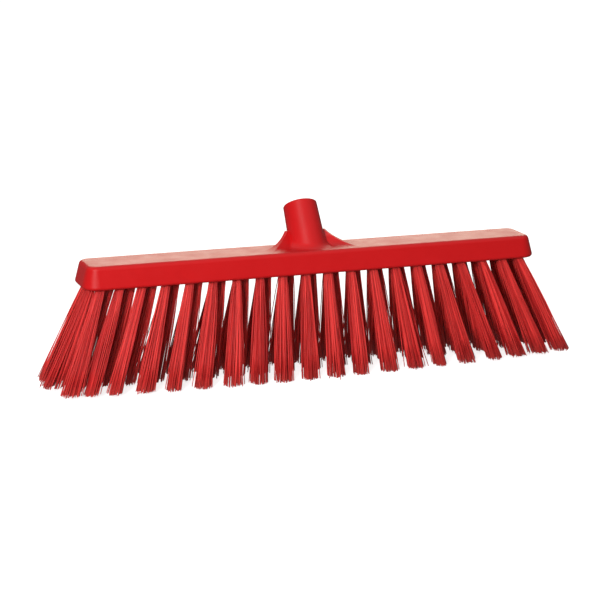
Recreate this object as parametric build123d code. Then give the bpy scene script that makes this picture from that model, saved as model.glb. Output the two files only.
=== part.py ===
from build123d import *
import os
from math import cos, radians, sin, tan

# Push broom head: one moulded block with a threaded handle socket, three rows of bristle tufts
# and the flat anchor staple that holds each tuft in its hole. Millimetres, +Z up, +X along the
# block. The origin is on the floor, under the middle of the block. The socket leans towards +Y.

# Block
BLOCK_LENGTH = 530.0
BLOCK_WIDTH = 65.0
BLOCK_HEIGHT = 25.0
SIDE_DRAFT = 14.5
PLAN_CORNER_R = 17.0
TOP_EDGE_R = 5.5
BOTTOM_EDGE_R = 3.0

# Handle socket, measured along its leaning axis from the block's top face
SOCKET_LEAN = 33.0
SOCKET_BACK = 10.0
SOCKET_LENGTH = 49.0
SOCKET_TOP_R = 19.1
SOCKET_FOOT_R = 20.6
SOCKET_RIM_R = 1.6
FOOT_BLEND_R = 12.0

# Webs either side of the socket, from a tip on the top face inwards and back to the socket
WEB_TIP_X = 58.5
WEB_TIP_Y = -11.5
WEB_SWEEP = 25.0
WEB_RUN = 45.0
WEB_BURIED = 15.0
WEB_TOP = 15.3
WEB_THICKNESS = 3.5
WEB_SINK = 4.0
WEB_FOOT_FLAT = 11.0
WEB_BLEND_R = 20.0

# Threaded bore for the handle
THREAD_MINOR_R = 11.0
THREAD_DEPTH = 1.2
THREAD_PITCH = 5.0
THREAD_CREST = 1.6
THREAD_TURNS = 6
GUIDE_LENGTH = 7.0
GUIDE_CLEARANCE = 0.4
LEAD_IN = 1.0
THREAD_OVERCUT = 0.5
BORE_LENGTH = 44.0

DOWNWARDS = (Align.CENTER, Align.CENTER, Align.MAX)
UPWARDS = (Align.CENTER, Align.CENTER, Align.MIN)

# Tufts
BRISTLE_HEIGHT = 116.0
HOLE_R = 5.0
HOLE_DEPTH = 16.0
TUFT_SIDE_CLEARANCE = 0.05
TUFT_END_CLEARANCE = 0.3
STRAIGHT_RUN = 3.5
TIP_GAP = 3.3
ROW_EDGE_INSET = 14.5
END_LEAN = 22.5
ROW_LEANS = {"front": -11.0, "middle": 0.0, "back": 7.0}
TRIM_RISE = 6.0
FLARE_OVERRUN = 1.35

# Spacing along the rows: even in the middle, closing up over the last gaps at each end. All rows
# sit a little to one side of the block's middle.
ROW_SHIFT = 1.0
FRONT_COUNT = 20
FRONT_END_INSET = 19.7
FRONT_END_GAPS = (24.6, 21.2)
REAR_COUNT = 21
REAR_END_INSET = 14.3
REAR_END_GAPS = (25.0, 24.0, 23.5, 21.0)

# Anchor staples
STAPLE_THICKNESS = 0.5
STAPLE_HEIGHT = 2.4
STAPLE_BITE = 1.0
FOLD_OVER_STAPLE = 2.6

BLOCK_TOP = BRISTLE_HEIGHT + BLOCK_HEIGHT
ROW_SPACING = BLOCK_WIDTH / 2 - ROW_EDGE_INSET
LONGEST_ROW = BLOCK_LENGTH / 2 - min(FRONT_END_INSET, REAR_END_INSET)
STAPLE_LENGTH = 2 * (HOLE_R + STAPLE_BITE)
TINY = 1e-3


def row_positions(count, end_inset, end_gaps):
    """Places along X, symmetric about the middle, with the last gaps at each end given."""
    half_span = BLOCK_LENGTH / 2 - end_inset
    even_steps = (count - 1) / 2 - len(end_gaps)
    pitch = (half_span - sum(end_gaps)) / even_steps
    places = []
    place = 0.0 if count % 2 else pitch / 2
    while len(places) < count // 2 + count % 2 - len(end_gaps):
        places.append(place)
        place += pitch
    for gap in end_gaps:
        places.append(places[-1] + gap)
    mirrored = [-place for place in reversed(places) if place > 0]
    return mirrored + places


def fan_angle(x):
    """Sideways lean of a tuft, in degrees, growing evenly from the middle to the end."""
    return END_LEAN * x / LONGEST_ROW


FRONT_ROW = row_positions(FRONT_COUNT, FRONT_END_INSET, FRONT_END_GAPS)
REAR_ROW = row_positions(REAR_COUNT, REAR_END_INSET, REAR_END_GAPS)


def tip_radius():
    """Largest tuft radius at the floor that keeps TIP_GAP between neighbours in a row."""
    widest = []
    for row in (FRONT_ROW, REAR_ROW):
        floor_places = [x + BRISTLE_HEIGHT * tan(radians(fan_angle(x))) for x in row]
        for left, right in zip(floor_places, floor_places[1:]):
            widest.append((right - left - TIP_GAP) / 2)
    return min(widest) * cos(radians(END_LEAN))


TIP_R = tip_radius()


def trim_height(x):
    """Height above the floor at which a tuft is cut off: bristles of one length end higher at the ends."""
    return TRIM_RISE * (x / LONGEST_ROW) ** 2


def tuft_plane(x, y, row_lean):
    """Plane at a hole's mouth with its Z axis up the hole; positive lean takes the tip towards +Y."""
    up = Vector(-tan(radians(fan_angle(x))), -tan(radians(row_lean)), 1).normalized()
    return Plane(origin=(x, y, BRISTLE_HEIGHT), x_dir=Vector(0, 1, 0).cross(up), z_dir=up)


def make_tuft(plane):
    """One tuft: a straight root in its hole, then a flare that is cut off level."""
    root_r = HOLE_R - TUFT_SIDE_CLEARANCE
    root_height = HOLE_DEPTH - TUFT_END_CLEARANCE + STRAIGHT_RUN
    root = Pos(0, 0, -STRAIGHT_RUN) * Cylinder(root_r, root_height, align=UPWARDS)
    flare = (TIP_R - root_r) / (BRISTLE_HEIGHT - STRAIGHT_RUN)
    flare_length = BRISTLE_HEIGHT * FLARE_OVERRUN
    end_r = root_r + flare * flare_length
    skirt = Pos(0, 0, -STRAIGHT_RUN) * Cone(end_r, root_r, flare_length, align=DOWNWARDS)
    tuft = plane * (root + skirt)
    tuft = split(tuft, bisect_by=Plane.XY.offset(trim_height(plane.origin.X)), keep=Keep.TOP)
    return tuft - make_staple(plane)


def make_staple(plane):
    """Flat wire across the hole near its bottom, its two ends bitten into the block."""
    top = HOLE_DEPTH - FOLD_OVER_STAPLE
    blade = Box(STAPLE_LENGTH, STAPLE_THICKNESS, STAPLE_HEIGHT, align=DOWNWARDS)
    return plane * Pos(0, 0, top) * blade


def make_hole(plane):
    """Blind drilled hole, started just outside the block's underside."""
    hole = Cylinder(HOLE_R, HOLE_DEPTH + STRAIGHT_RUN, align=UPWARDS)
    return plane * Pos(0, 0, -STRAIGHT_RUN) * hole


SOCKET_PLANE = Plane(
    origin=(0, SOCKET_BACK, BLOCK_TOP),
    x_dir=(1, 0, 0),
    z_dir=Vector(0, tan(radians(SOCKET_LEAN)), 1).normalized(),
)


def make_body():
    """Drafted block with rounded plan corners."""
    outline = RectangleRounded(BLOCK_LENGTH, BLOCK_WIDTH, PLAN_CORNER_R)
    body = Pos(0, 0, BRISTLE_HEIGHT) * extrude(outline, BLOCK_HEIGHT, taper=SIDE_DRAFT)
    body = fillet(body.faces().sort_by(Axis.Z)[-1].edges(), TOP_EDGE_R)
    return fillet(body.faces().sort_by(Axis.Z)[0].edges(), BOTTOM_EDGE_R)


def upright_web():
    """Plain leaning web in section: ahead of its front foot, then above the block's top face."""
    lean = tan(radians(SOCKET_LEAN))
    depth = WEB_THICKNESS / cos(radians(SOCKET_LEAN))
    corners = [
        (WEB_SINK * lean, -WEB_SINK),
        (-WEB_TOP * lean, WEB_TOP),
        (-WEB_TOP * lean - depth, WEB_TOP),
        (WEB_SINK * lean - depth, -WEB_SINK),
    ]
    return make_face(Polyline(*corners, close=True))


def web_section():
    """The leaning web on a sunk flat, with a hollow blend along its front."""
    flat = Pos(0, -WEB_SINK) * Rectangle(2 * WEB_FOOT_FLAT, WEB_SINK, align=(Align.CENTER, Align.MIN))
    section = upright_web() + flat
    corner = section.vertices().sort_by_distance((0, 0))[0]
    return fillet(corner, WEB_BLEND_R)


def web_outline():
    """A web seen square on, from its tip: a hollow arc up to its top, then on into the socket."""
    end = WEB_RUN + WEB_BURIED
    arc = TangentArc((0, 0), (WEB_RUN, WEB_TOP), tangent=(1, 0))
    rest = Polyline((WEB_RUN, WEB_TOP), (end, WEB_TOP), (end, -WEB_SINK), (0, -WEB_SINK), (0, 0))
    return make_face(arc + rest)


def make_webs(section):
    """Both webs: a section run in from the tip, cut to the outline, and its mirror image."""
    sweep = radians(WEB_SWEEP)
    inwards = Vector(-cos(sweep), sin(sweep), 0)
    forwards = Vector(-sin(sweep), -cos(sweep), 0)
    tip = (WEB_TIP_X, WEB_TIP_Y, BLOCK_TOP)
    bar = extrude(Plane(origin=tip, x_dir=forwards, z_dir=inwards) * section, WEB_RUN + WEB_BURIED)
    side = Plane(origin=tip, x_dir=inwards, z_dir=-forwards)
    web = bar & extrude(side * web_outline(), BLOCK_WIDTH, both=True)
    return web + mirror(web, Plane.YZ)


def make_socket():
    """Tapered round socket, its foot cut off level just below the block's top face."""
    sunk = SOCKET_FOOT_R * tan(radians(SOCKET_LEAN)) + WEB_SINK
    taper = (SOCKET_FOOT_R - SOCKET_TOP_R) / SOCKET_LENGTH
    barrel = Cone(SOCKET_FOOT_R + taper * sunk, SOCKET_TOP_R, SOCKET_LENGTH + sunk, align=UPWARDS)
    barrel = SOCKET_PLANE * Pos(0, 0, -sunk) * barrel
    rim = barrel.edges().sort_by(Axis(SOCKET_PLANE.origin, SOCKET_PLANE.z_dir))[-1]
    barrel = fillet(rim, SOCKET_RIM_R)
    return split(barrel, bisect_by=Plane.XY.offset(BLOCK_TOP - WEB_SINK), keep=Keep.TOP)


def is_socket_front_foot(edge):
    """True for the curved edge where the front of the socket meets the block's top face."""
    box = edge.bounding_box()
    level = abs(box.min.Z - BLOCK_TOP) < TINY and abs(box.max.Z - BLOCK_TOP) < TINY
    return level and edge.geom_type == GeomType.ELLIPSE and box.max.Y < SOCKET_BACK


def make_bore():
    """Blind bore from the rim: a plain guide, then a coarse round-topped handle thread."""
    guide_r = THREAD_MINOR_R + THREAD_DEPTH + GUIDE_CLEARANCE
    rim = SOCKET_PLANE * Pos(0, 0, SOCKET_LENGTH)
    bore = rim * Cylinder(THREAD_MINOR_R, BORE_LENGTH, align=DOWNWARDS)
    guide = rim * Cylinder(guide_r, GUIDE_LENGTH, align=DOWNWARDS)
    lead_in = rim * Cone(guide_r, guide_r + LEAD_IN, LEAD_IN, align=DOWNWARDS)
    start = SOCKET_PLANE * Pos(0, 0, SOCKET_LENGTH - GUIDE_LENGTH - THREAD_TURNS * THREAD_PITCH)
    path = Helix(THREAD_PITCH, (THREAD_TURNS + 0.5) * THREAD_PITCH, THREAD_MINOR_R)
    root_half = THREAD_PITCH / 2 - THREAD_CREST / 2
    groove = Plane(origin=path @ 0, x_dir=(1, 0, 0), z_dir=path % 0) * make_face(
        Polyline(
            (-THREAD_OVERCUT, -root_half),
            (THREAD_DEPTH, -root_half / 2),
            (THREAD_DEPTH, root_half / 2),
            (-THREAD_OVERCUT, root_half),
            close=True,
        )
    )
    thread = start * sweep(groove, path=path, is_frenet=True)
    return bore + guide + lead_in, thread


def make_block(planes):
    """The one-piece moulding: block, webs and socket, less the bore, tuft holes and staple bites."""
    block = make_body() + make_socket() + make_webs(upright_web())
    block = fillet([edge for edge in block.edges() if is_socket_front_foot(edge)], FOOT_BLEND_R)
    block += make_webs(web_section())
    bore, thread = make_bore()
    block -= bore
    block -= thread
    block -= [make_hole(plane) for plane in planes]
    block -= [make_staple(plane) for plane in planes]
    return block.solid()


def row_planes(name, places, y):
    """Hole planes of one row."""
    return [tuft_plane(x + ROW_SHIFT, y, ROW_LEANS[name]) for x in places]


ROWS = {
    "front": row_planes("front", FRONT_ROW, -ROW_SPACING),
    "middle": row_planes("middle", REAR_ROW, 0),
    "back": row_planes("back", REAR_ROW, ROW_SPACING),
}


def make_parts():
    """Every node of the broom head by name."""
    parts = {"broom_block": make_block([plane for row in ROWS.values() for plane in row])}
    for number, plane in enumerate(ROWS["front"], start=1):
        parts[f"front_tuft_{number:02d}"] = make_tuft(plane)
    for number, pair in enumerate(zip(ROWS["middle"], ROWS["back"]), start=1):
        parts[f"rear_tuft_pair_{number:02d}"] = Compound(children=[make_tuft(plane) for plane in pair])
    for row, planes in ROWS.items():
        parts[f"anchor_staples_{row}"] = Compound(children=[make_staple(plane) for plane in planes])
    return parts


os.makedirs("parts", exist_ok=True)
for name, part in make_parts().items():
    part.label = name
    export_step(part, f"parts/{name}.step")
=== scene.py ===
import bpy
import numpy as np
from mathutils import Matrix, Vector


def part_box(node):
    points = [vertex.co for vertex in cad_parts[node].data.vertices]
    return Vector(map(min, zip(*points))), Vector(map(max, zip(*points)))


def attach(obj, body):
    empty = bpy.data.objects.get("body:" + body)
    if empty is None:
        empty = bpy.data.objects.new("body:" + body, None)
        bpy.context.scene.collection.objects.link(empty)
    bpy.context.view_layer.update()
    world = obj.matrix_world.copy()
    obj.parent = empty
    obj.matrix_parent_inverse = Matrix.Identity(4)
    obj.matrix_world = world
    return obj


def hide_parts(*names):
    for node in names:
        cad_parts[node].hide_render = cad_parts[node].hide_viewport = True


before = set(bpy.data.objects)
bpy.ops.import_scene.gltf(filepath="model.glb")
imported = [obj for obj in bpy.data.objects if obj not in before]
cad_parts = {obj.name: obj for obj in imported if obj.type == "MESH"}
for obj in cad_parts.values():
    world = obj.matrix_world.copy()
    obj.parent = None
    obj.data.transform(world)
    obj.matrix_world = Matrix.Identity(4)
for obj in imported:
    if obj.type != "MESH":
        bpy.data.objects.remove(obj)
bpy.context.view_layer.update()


# ---------------------------------------------------------------- block
# The block is one moulding in foamed polypropylene: the drafted bar, the leaning handle socket
# and its two webs. The tool is lightly spark-textured, and the foam leaves faint swirls in the
# pigment.
BLOCK_RED = (0.545, 0.0070, 0.0085, 1)
BLOCK_DEEP_RED = (0.515, 0.0060, 0.0073, 1)
BLOCK_GRAIN_DEPTH = 0.00006
SWIRLS_PER_METRE = 26
SWIRL_RANGE = (0.35, 0.70)
GRAINS_PER_METRE = 1900
PATCHES_PER_METRE = 60
PATCH_RANGE = (0.3, 0.7)


def new_material(name):
    """A material with its nodes, its links and its one Principled shader."""
    material = bpy.data.materials.new(name)
    material.use_nodes = True
    nodes = material.node_tree.nodes
    return material, nodes, material.node_tree.links, nodes["Principled BSDF"]


def new_group(name, inputs, outputs):
    """An empty node group; each input is (name, kind, default) and each output (name, kind)."""
    group = bpy.data.node_groups.new(name, "ShaderNodeTree")
    for label, kind, default in inputs:
        socket = group.interface.new_socket(label, in_out="INPUT", socket_type=kind)
        socket.default_value = default
    for label, kind in outputs:
        group.interface.new_socket(label, in_out="OUTPUT", socket_type=kind)
    return group, group.nodes.new("NodeGroupInput"), group.nodes.new("NodeGroupOutput")


def noise(tree, vector, scale, detail=2.0, roughness=0.5, distortion=0.0):
    """Noise texture read at vector, with scale in features per metre."""
    node = tree.nodes.new("ShaderNodeTexNoise")
    node.inputs["Scale"].default_value = scale
    node.inputs["Detail"].default_value = detail
    node.inputs["Roughness"].default_value = roughness
    node.inputs["Distortion"].default_value = distortion
    tree.links.new(vector, node.inputs["Vector"])
    return node.outputs["Fac"]


def plug_in(tree, value, socket):
    """Gives a socket its value: linked if it is another socket, set if it is plain."""
    if isinstance(value, bpy.types.NodeSocket):
        tree.links.new(value, socket)
    else:
        socket.default_value = value


def remap(tree, value, low, high, to_low, to_high):
    """Straight-line map of value from low..high to to_low..to_high, held at the ends."""
    node = tree.nodes.new("ShaderNodeMapRange")
    names = ("From Min", "From Max", "To Min", "To Max")
    for name, number in zip(names, (low, high, to_low, to_high)):
        plug_in(tree, number, node.inputs[name])
    tree.links.new(value, node.inputs["Value"])
    return node.outputs["Result"]


def blend_colours(tree, factor, first, second):
    """First colour where factor is 0, second where it is 1; either may be a socket or a value."""
    node = tree.nodes.new("ShaderNodeMix")
    node.data_type = "RGBA"
    tree.links.new(factor, node.inputs["Factor"])
    plug_in(tree, first, node.inputs["A"])
    plug_in(tree, second, node.inputs["B"])
    return node.outputs["Result"]


def make_pigment_group():
    """Pigment swirl: two colours mixed by one broad noise, its middle range stretched to 0..1."""
    group, into, out = new_group(
        "pigment_swirl",
        [
            ("Position", "NodeSocketVector", (0, 0, 0)),
            ("Colour", "NodeSocketColor", BLOCK_RED),
            ("Deep Colour", "NodeSocketColor", BLOCK_DEEP_RED),
        ],
        [("Colour", "NodeSocketColor")],
    )
    place = into.outputs["Position"]
    broad = noise(group, place, SWIRLS_PER_METRE, detail=4, distortion=1.2)
    mask = remap(group, broad, *SWIRL_RANGE, 0, 1)
    colour = blend_colours(group, mask, into.outputs["Colour"], into.outputs["Deep Colour"])
    group.links.new(colour, out.inputs["Colour"])
    return group


def make_grain_group():
    """Mould grain: a fine noise for height, and a broad one that runs from Smooth to Rough."""
    group, into, out = new_group(
        "mould_grain",
        [
            ("Position", "NodeSocketVector", (0, 0, 0)),
            ("Smooth", "NodeSocketFloat", 0.3),
            ("Rough", "NodeSocketFloat", 0.4),
        ],
        [("Height", "NodeSocketFloat"), ("Roughness", "NodeSocketFloat")],
    )
    place = into.outputs["Position"]
    fine = noise(group, place, GRAINS_PER_METRE, detail=2)
    broad = noise(group, place, PATCHES_PER_METRE, detail=5, roughness=0.6)
    rough = remap(group, broad, *PATCH_RANGE, into.outputs["Smooth"], into.outputs["Rough"])
    group.links.new(fine, out.inputs["Height"])
    group.links.new(rough, out.inputs["Roughness"])
    return group


def use_group(tree, group, **values):
    """Places a group and gives it its values, named as its inputs with _ for a space."""
    node = tree.nodes.new("ShaderNodeGroup")
    node.node_tree = group
    for name, value in values.items():
        plug_in(tree, value, node.inputs[name.replace("_", " ")])
    return node.outputs


def add_bump(tree, height, distance, strength, shader):
    """Bump on the shader's normal, distance metres deep at strength 1."""
    bump = tree.nodes.new("ShaderNodeBump")
    bump.inputs["Distance"].default_value = distance
    bump.inputs["Strength"].default_value = strength
    tree.links.new(height, bump.inputs["Height"])
    tree.links.new(bump.outputs["Normal"], shader.inputs["Normal"])


pigment_swirl = make_pigment_group()
mould_grain = make_grain_group()

block_plastic, nodes, links, shader = new_material("moulded_polypropylene")
tree = block_plastic.node_tree
place = nodes.new("ShaderNodeTexCoord").outputs["Object"]
swirl = use_group(tree, pigment_swirl, Position=place, Colour=BLOCK_RED, Deep_Colour=BLOCK_DEEP_RED)
grain = use_group(tree, mould_grain, Position=place, Smooth=0.30, Rough=0.40)
links.new(swirl["Colour"], shader.inputs["Base Color"])
links.new(grain["Roughness"], shader.inputs["Roughness"])
shader.inputs["Specular IOR Level"].default_value = 0.35
add_bump(tree, grain["Height"], BLOCK_GRAIN_DEPTH, 0.5, shader)

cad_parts["broom_block"].material_slots[0].material = block_plastic


# ---------------------------------------------------------------- anchor staples
# Each tuft is held at the bottom of its hole by a short flat wire of stainless steel, pressed in
# across the hole until its two ends bite into the plastic. The wire is cut from drawn strip.
STEEL = (0.56, 0.55, 0.53, 1)
STEEL_DARK = (0.36, 0.35, 0.34, 1)
STEEL_GRAIN_DEPTH = 0.00002

staple_steel, nodes, links, shader = new_material("drawn_stainless_steel")
tree = staple_steel.node_tree
place = nodes.new("ShaderNodeTexCoord").outputs["Object"]
swirl = use_group(tree, pigment_swirl, Position=place, Colour=STEEL, Deep_Colour=STEEL_DARK)
grain = use_group(tree, mould_grain, Position=place, Smooth=0.25, Rough=0.40)
links.new(swirl["Colour"], shader.inputs["Base Color"])
links.new(grain["Roughness"], shader.inputs["Roughness"])
shader.inputs["Metallic"].default_value = 1.0
add_bump(tree, grain["Height"], STEEL_GRAIN_DEPTH, 0.4, shader)

for row in ("front", "middle", "back"):
    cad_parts[f"anchor_staples_{row}"].material_slots[0].material = staple_steel


# ---------------------------------------------------------------- front row of tufts
# A tuft is a bundle of extruded polyester filaments, each folded double over its staple so that
# both ends hang from one hole. The bundle is round in the hole and flares on its way down, the
# filaments gather in a few loose locks, and the ends are trimmed nearly level.
FILAMENTS_IN_TUFT = 48
FILAMENT_R = 0.00048
FILAMENT_SIDES = 5
STATIONS_BELOW_MOUTH = 4
GOLDEN_STEP = 0.618034
HOLE_FILL_R = 0.0045
STAPLE_TO_FOLD = 0.0016
STAPLE_CROWN = 0.0017
STAPLE_CLEARANCE = 0.00075
STAPLE_TO_MOUTH = 0.0122
TIP_RADIUS = 0.0092
FLARE_POWER = 0.97
FLARE_JITTER = 0.13
LOCKS_IN_TUFT = 4
LOCK_SPREAD = 0.55
LOCK_PULL = 0.14
STRAY_SHARE = 0.03
STRAY_REACH = 0.0035
TRIM_CLEARANCE = 0.0003
TRIM_JITTER = 0.0012
BOW = 0.0007
# The filaments turn paler towards their cut tips: the blend starts at this share of the length and
# reaches this share of the tip colour at the ends.
PALE_TIP_FROM = 0.93
PALE_TIP_SHARE = 0.5

FILAMENT_RED = (0.880, 0.0560, 0.0500, 1)
FILAMENT_DEEP_RED = (0.440, 0.0110, 0.0120, 1)
FILAMENT_TIP_RED = (0.900, 0.0900, 0.0800, 1)

rng = np.random.default_rng(62)


def unit(vectors):
    """Vectors scaled to length one along the last axis."""
    return vectors / np.linalg.norm(vectors, axis=-1, keepdims=True)


def staple_places(node, count):
    """Middle, direction along the wire and direction into the block of each staple in a row.

    The row's corner points are sorted by X and cut into equal lots of eight. A lot's principal
    axes, longest first, are the wire's length, its height and its thickness.
    """
    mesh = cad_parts[node].data
    points = np.empty(len(mesh.vertices) * 3)
    mesh.vertices.foreach_get("co", points)
    points = np.unique(points.reshape(-1, 3).round(6), axis=0)
    points = points[np.argsort(points[:, 0])].reshape(count, 8, 3)
    middle = points.mean(axis=1)
    axes = np.linalg.svd(points - middle[:, None])[2]
    along = axes[:, 0] * np.sign(axes[:, 0, :1])
    inward = axes[:, 1] * np.sign(axes[:, 1, 2:])
    return middle, along, inward


def filament_lines(middle, along, inward, trim, spread, drift):
    """Centre lines of one tuft's folded filaments, as points of filament, station, xyz.

    In the hole, filament k sits at golden-ratio steps round a half disc: a distance u along the
    wire and v away from it, where v starts at the clearance beside the wire. The fold stands over
    the wire's crown, higher the larger v is. Each half runs from the fold to the mouth at +v or
    -v, then sideways from (u, v) to its tip's place as a power of the way down, plus a shallow bow
    that is a half sine.

    The tip's place is the root's own share of the tuft's spread, shaken, drawn part of the way to
    the nearest lock and, for a few strays, thrown further, plus the tuft's drift along the wire.
    The line ends a little above the trim height.
    """
    step = np.arange(FILAMENTS_IN_TUFT)
    turn = np.pi * ((step * GOLDEN_STEP) % 1.0)
    radius = HOLE_FILL_R * np.sqrt((step + 0.5) / FILAMENTS_IN_TUFT)
    u = radius * np.cos(turn)
    v = STAPLE_CLEARANCE + (1 - STAPLE_CLEARANCE / HOLE_FILL_R) * radius * np.sin(turn)
    away = np.cross(inward, along)
    down = np.linspace(0, 1, STATIONS_BELOW_MOUTH + 1)[1:]
    halves = []
    locks = rng.normal(size=(LOCKS_IN_TUFT, 2))
    locks = LOCK_SPREAD * locks / np.maximum(1, np.linalg.norm(locks, axis=1, keepdims=True))
    for side in (1, -1):
        root = np.stack([u, side * v], axis=1)
        flare = root / HOLE_FILL_R + rng.normal(0, FLARE_JITTER, root.shape)
        near = np.linalg.norm(flare[:, None] - locks[None], axis=2).argmin(axis=1)
        flare += LOCK_PULL * (locks[near] - flare)
        stray = rng.random(FILAMENTS_IN_TUFT) < STRAY_SHARE
        flare += stray[:, None] * rng.normal(0, STRAY_REACH / TIP_RADIUS, root.shape)
        tip = flare * np.array(spread) + (drift, 0)
        end = trim + TRIM_CLEARANCE + np.abs(rng.normal(0, TRIM_JITTER, FILAMENTS_IN_TUFT))
        drop = middle[2] + tip[:, 0] * along[2] + tip[:, 1] * away[2] - end
        length = drop / inward[2] - STAPLE_TO_MOUTH
        bow = rng.normal(0, BOW, root.shape)
        rise = (down**FLARE_POWER)[None, :, None]
        sideways = root[:, None] + rise * (tip - root)[:, None]
        sideways = sideways + np.sin(np.pi * down)[None, :, None] * bow[:, None]
        depth = STAPLE_TO_MOUTH + down[None] * length[:, None]
        half = (
            middle
            + sideways[..., :1] * along
            + sideways[..., 1:] * away
            - depth[..., None] * inward
        )
        shoulder = middle + u[:, None] * along + side * v[:, None] * away
        mouth = shoulder - STAPLE_TO_MOUTH * inward
        halves.append(np.concatenate([shoulder[:, None], mouth[:, None], half], axis=1))
    rise = STAPLE_TO_FOLD * v / HOLE_FILL_R
    fold = middle + u[:, None] * along + (STAPLE_CROWN + rise)[:, None] * inward
    return np.concatenate([halves[0][:, ::-1], fold[:, None], halves[1]], axis=1)


def tube_points(lines, guide, radius):
    """Rings of points round every line: centre + radius (cos a * n + sin a * b).

    n is the guide direction less its part along the line, b is square to both, and a steps
    evenly round the ring.
    """
    tangent = unit(np.gradient(lines, axis=1))
    normal = unit(guide - (tangent @ guide)[..., None] * tangent)
    other = np.cross(tangent, normal)
    angle = np.arange(FILAMENT_SIDES) * 2 * np.pi / FILAMENT_SIDES
    ring = np.cos(angle)[:, None] * normal[:, :, None] + np.sin(angle)[:, None] * other[:, :, None]
    return lines[:, :, None] + radius * ring


def filament_faces(count, stations, start):
    """Quads between neighbouring rings and one flat face at each cut end, for all lines.

    Corner j of ring i of line n is point start + (n stations + i) sides + j.
    """
    ring = np.arange(FILAMENT_SIDES)
    corner = np.stack([ring, (ring + 1) % FILAMENT_SIDES], axis=1)
    station = np.arange(stations - 1)[:, None, None] * FILAMENT_SIDES
    quad = np.concatenate([station + corner, station + FILAMENT_SIDES + corner[:, ::-1]], axis=2)
    line = start + np.arange(count)[:, None, None, None] * stations * FILAMENT_SIDES
    quads = (line + quad).reshape(-1, 4)
    line = line.reshape(-1, 1)
    ends = np.concatenate([line + ring[::-1], line + (stations - 1) * FILAMENT_SIDES + ring])
    return quads, ends


def make_bundle(name, node, tufts):
    """One piece made of every filament of the tufts given.

    Shade is random for each filament; reach runs from 0 at the fold to 1 at the tips.
    """
    points, quads, ends, shades, reaches = [], [], [], [], []
    start = 0
    for middle, along, inward, trim, spread, drift in tufts:
        lines = filament_lines(middle, along, inward, trim, spread, drift)
        rings = tube_points(lines, along, FILAMENT_R)
        count, stations = lines.shape[:2]
        tuft_quads, tuft_ends = filament_faces(count, stations, start)
        shade = np.broadcast_to(rng.random(count)[:, None, None], rings.shape[:3])
        reach = np.abs(np.linspace(-1, 1, stations))[None, :, None]
        points.append(rings.reshape(-1, 3))
        quads.append(tuft_quads)
        ends.append(tuft_ends)
        shades.append(shade.ravel())
        reaches.append(np.broadcast_to(reach, rings.shape[:3]).ravel())
        start += rings.size // 3
    mesh = bpy.data.meshes.new(name)
    faces = np.concatenate(quads).tolist() + np.concatenate(ends).tolist()
    mesh.from_pydata(np.concatenate(points).tolist(), [], faces)
    for label, values in (("shade", shades), ("reach", reaches)):
        attribute = mesh.attributes.new(label, "FLOAT", "POINT")
        attribute.data.foreach_set("value", np.concatenate(values).astype(np.float32))
    smooth = np.ones(len(faces), bool)
    smooth[-sum(map(len, ends)) :] = False
    mesh.polygons.foreach_set("use_smooth", smooth)
    mesh.materials.append(filament_polyester)
    mesh.update()
    bundle = bpy.data.objects.new(name, mesh)
    bpy.context.scene.collection.objects.link(bundle)
    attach(bundle, "root")
    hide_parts(node)


filament_polyester, nodes, links, shader = new_material("extruded_polyester")
tree = filament_polyester.node_tree
place = nodes.new("ShaderNodeTexCoord").outputs["Object"]
shade = nodes.new("ShaderNodeAttribute")
shade.attribute_name = "shade"
reach = nodes.new("ShaderNodeAttribute")
reach.attribute_name = "reach"
base = blend_colours(tree, shade.outputs["Fac"], FILAMENT_RED, FILAMENT_DEEP_RED)
# The colour is blended towards the paler tip red over the last stretch of each filament's length.
tip_paling = remap(tree, reach.outputs["Fac"], PALE_TIP_FROM, 1.0, 0, PALE_TIP_SHARE)
colour = blend_colours(tree, tip_paling, base, FILAMENT_TIP_RED)
grain = use_group(tree, mould_grain, Position=place, Smooth=0.30, Rough=0.46)
links.new(colour, shader.inputs["Base Color"])
links.new(grain["Roughness"], shader.inputs["Roughness"])

# Use has opened some tufts and closed others, and set them a little to one side: each tuft's half
# width at its tips and its drift along the row, left to right.
HALF_WIDTHS = (
    0.0115, 0.0080, 0.0080, 0.0100, 0.0090, 0.0100, 0.0110, 0.0095, 0.0105, 0.0090,
    0.0105, 0.0085, 0.0110, 0.0100, 0.0070, 0.0110, 0.0085, 0.0105, 0.0115, 0.0100,
)
DRIFTS = (
    0.0040, 0.0005, -0.0025, -0.0005, -0.0010, 0.0010, 0.0040, 0.0025, -0.0005, -0.0005,
    0.0000, -0.0025, 0.0010, 0.0015, -0.0010, 0.0010, 0.0040, 0.0010, 0.0005, 0.0020,
)

front = staple_places("anchor_staples_front", len(DRIFTS))
for number, (*staple, half_width, drift) in enumerate(zip(*front, HALF_WIDTHS, DRIFTS), start=1):
    node = f"front_tuft_{number:02d}"
    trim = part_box(node)[0].z
    tuft = (*staple, trim, (half_width, TIP_RADIUS), drift)
    make_bundle(f"front_bundle_{number:02d}", node, [tuft])


# ---------------------------------------------------------------- middle and back rows of tufts
# The two rows behind are the same tufts, half a step out of line with the front row, so that the
# rows close each other's gaps. A middle tuft and the one behind it are one piece.
REAR_TUFTS = 21
REAR_SPREAD = (0.0112, 0.0125)
REAR_DRIFT = 0.0012

middle_row = staple_places("anchor_staples_middle", REAR_TUFTS)
back_row = staple_places("anchor_staples_back", REAR_TUFTS)
for number in range(REAR_TUFTS):
    node = f"rear_tuft_pair_{number + 1:02d}"
    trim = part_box(node)[0].z
    pair = [
        (*(part[number] for part in row), trim, REAR_SPREAD, rng.normal(0, REAR_DRIFT))
        for row in (middle_row, back_row)
    ]
    make_bundle(f"rear_bundle_{number + 1:02d}", node, pair)


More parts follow.
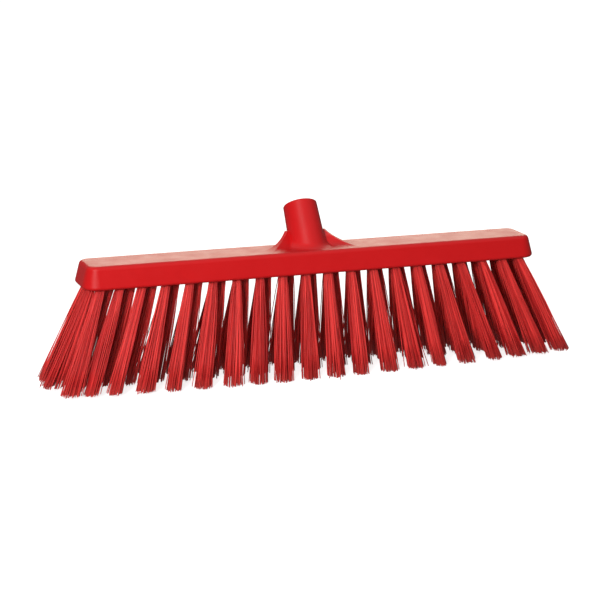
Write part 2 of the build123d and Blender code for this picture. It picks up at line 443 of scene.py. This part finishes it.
# ---------------------------------------------------------------- studio
# A light table for a floor, a tall soft light in front on the left, a small fill lower and further
# off on the same side, a warm panel behind that the block's top face picks up, and a sky that is
# dim low down and brighter overhead. The camera itself sees the sky white, as it sees the floor.
FLOOR_REACH = 14.0
FLOOR_TONES = ((0.66, 0.66, 0.66, 1), (0.70, 0.70, 0.70, 1))
FLOOR_MOTTLES_PER_METRE = 3
FLOOR_GLOW = 0.80
LIGHTS_AIM = (0, 0, 0.1)
WHITE = (1, 1, 1)
WARM_WHITE = (1, 0.92, 0.74)
SKY_LOW = 0.14
SKY_HIGH = 0.50
SKY_RISES_FROM = 0.45
SKY_RISES_TO = 0.75

floor_paint, nodes, links, shader = new_material("studio_floor")
tree = floor_paint.node_tree
place = nodes.new("ShaderNodeTexCoord").outputs["Object"]
mottle = noise(tree, place, FLOOR_MOTTLES_PER_METRE)
tone = blend_colours(tree, mottle, *FLOOR_TONES)
links.new(tone, shader.inputs["Base Color"])
shader.inputs["Roughness"].default_value = 0.9
shader.inputs["Specular IOR Level"].default_value = 0.1
shader.inputs["Emission Color"].default_value = (*WHITE, 1)
shader.inputs["Emission Strength"].default_value = FLOOR_GLOW

mesh = bpy.data.meshes.new("studio_floor")
edge = FLOOR_REACH
corners = [(-edge, -edge, 0), (edge, -edge, 0), (edge, edge, 0), (-edge, edge, 0)]
mesh.from_pydata(corners, [], [(0, 1, 2, 3)])
mesh.materials.append(floor_paint)
floor = bpy.data.objects.new("studio_floor", mesh)
# The glowing floor is neither mirrored in the broom nor lights it from below.
floor.visible_glossy = False
floor.visible_diffuse = False
bpy.context.scene.collection.objects.link(floor)


def aim(thing, place, target):
    """Stands a lamp or camera at place, looking at target, with its top upwards."""
    ahead = unit(np.array(target) - np.array(place))
    across = unit(np.cross(ahead, (0, 0, 1)))
    over = np.cross(across, ahead)
    turn = Matrix(np.stack([across, over, -ahead], axis=1).tolist()).to_4x4()
    thing.matrix_world = Matrix.Translation(place) @ turn


def soft_box(name, place, size, power, colour, mirrored=True):
    """A rectangular soft light aimed at the broom, out of the camera's sight.

    One that isn't mirrored lights the surfaces but leaves no highlight on them.
    """
    lamp = bpy.data.lights.new(name, "AREA")
    lamp.shape = "RECTANGLE"
    lamp.size, lamp.size_y = size
    lamp.energy = power
    lamp.color = colour
    thing = bpy.data.objects.new(name, lamp)
    thing.visible_camera = False
    thing.visible_glossy = mirrored
    bpy.context.scene.collection.objects.link(thing)
    aim(thing, place, LIGHTS_AIM)


soft_box("key_light", (-1.13, -1.74, 1.20), (1.3, 2.2), 26, WHITE)
soft_box("front_fill", (-1.50, -2.20, 0.90), (0.4, 0.4), 50, WHITE, mirrored=False)
soft_box("rear_panel", (1.00, 2.83, 1.05), (2.4, 1.5), 26, WARM_WHITE)

world = bpy.data.worlds.new("studio")
world.use_nodes = True
bpy.context.scene.world = world
tree = world.node_tree
background = tree.nodes["Background"]
# The sky's strength follows the upward part of the direction it is seen in.
way = tree.nodes.new("ShaderNodeTexCoord").outputs["Generated"]
split = tree.nodes.new("ShaderNodeSeparateXYZ")
tree.links.new(way, split.inputs["Vector"])
height = split.outputs["Z"]
strength = remap(tree, height, SKY_RISES_FROM, SKY_RISES_TO, SKY_LOW, SKY_HIGH)
seen = tree.nodes.new("ShaderNodeLightPath").outputs["Is Camera Ray"]
either = tree.nodes.new("ShaderNodeMath")
either.operation = "MAXIMUM"
tree.links.new(strength, either.inputs[0])
tree.links.new(seen, either.inputs[1])
tree.links.new(either.outputs["Value"], background.inputs["Strength"])
background.inputs["Color"].default_value = (*WHITE, 1)

# The camera stands in front and to the left, a little above the broom, with a long lens. It looks
# parallel to a line through the broom's middle, from a place shifted a little off that line.
CAMERA_TURN = np.radians(19.47)
CAMERA_RISE = np.radians(13.53)
CAMERA_DISTANCE = 2.090
CAMERA_ASIDE = -0.0119
CAMERA_LIFT = -0.0353
CAMERA_HEIGHT = 0.116
LENS_MM = 112.3
SENSOR_MM = 36.0
NEAREST = 0.05
FARTHEST = 60.0

sight = np.array([
    np.sin(CAMERA_TURN) * np.cos(CAMERA_RISE),
    np.cos(CAMERA_TURN) * np.cos(CAMERA_RISE),
    -np.sin(CAMERA_RISE),
])
right = np.array([np.cos(CAMERA_TURN), -np.sin(CAMERA_TURN), 0])
above = np.cross(right, sight)
spot = (0, 0, CAMERA_HEIGHT) - CAMERA_DISTANCE * sight
spot = spot + CAMERA_ASIDE * right + CAMERA_LIFT * above
lens = bpy.data.cameras.new("camera")
lens.lens = LENS_MM
lens.sensor_width = SENSOR_MM
lens.clip_start = NEAREST
lens.clip_end = FARTHEST
camera = bpy.data.objects.new("camera", lens)
bpy.context.scene.collection.objects.link(camera)
aim(camera, spot.tolist(), (spot + sight).tolist())
bpy.context.scene.camera = camera
bpy.context.scene.view_settings.view_transform = "Standard"
